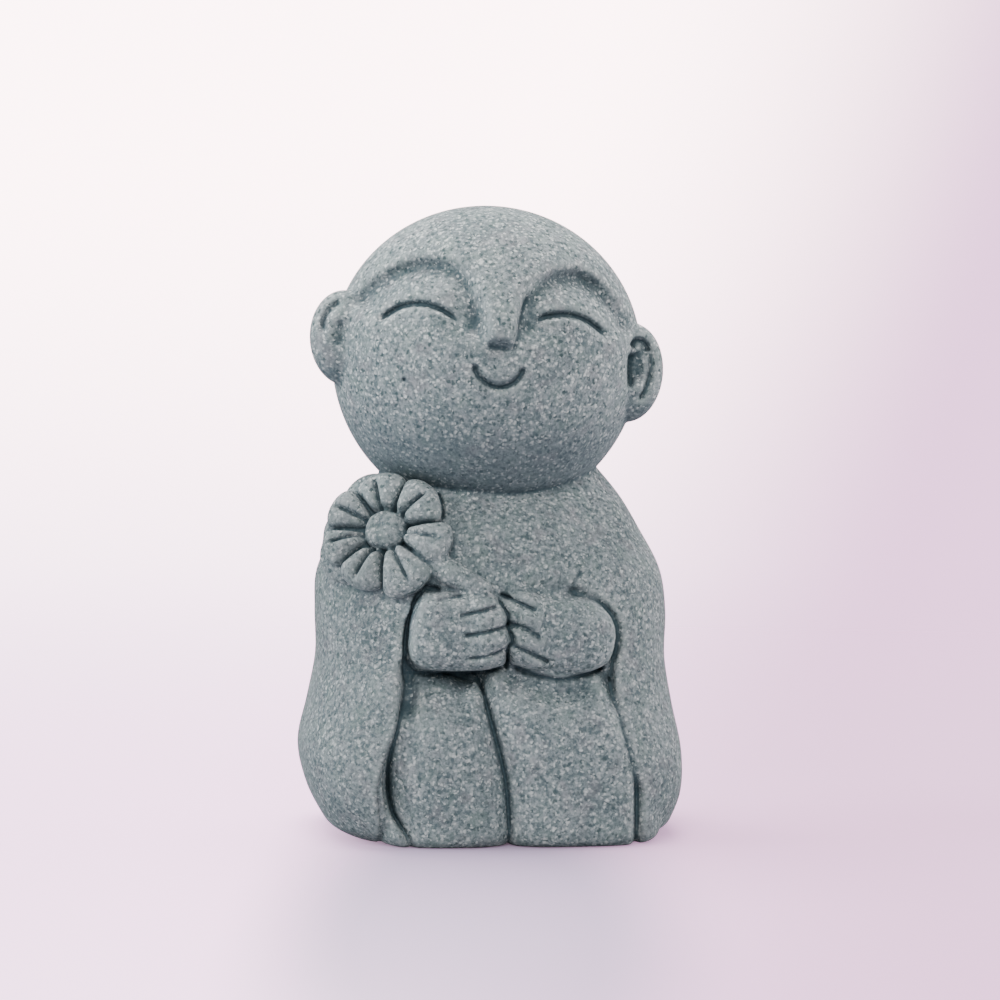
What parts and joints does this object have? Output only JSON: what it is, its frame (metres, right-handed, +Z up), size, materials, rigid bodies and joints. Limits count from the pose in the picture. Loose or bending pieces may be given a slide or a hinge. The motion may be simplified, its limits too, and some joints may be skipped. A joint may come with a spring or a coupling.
{
  "type": "buddhist monk statuette",
  "caption": "Small kneeling monk cast in stone-look material, smiling with closed eyes, holding a flower against the shoulder; stands on a flat underside.",
  "frame": {"origin": "middle of the flat underside, at the height of the surface that the figure stands on", "axes": "+Z up, the figure faces -Y, +X to its left hand side"},
  "size_m": [0.0379, 0.0342, 0.062],
  "materials": {
    "stone": "matt grey-green cast stone with fine pale and dark grains, and a dark blue-green wash left in the creases"
  },
  "bodies": {
    "root": {"monk_figure": "stone"}
  },
  "joints": []
}
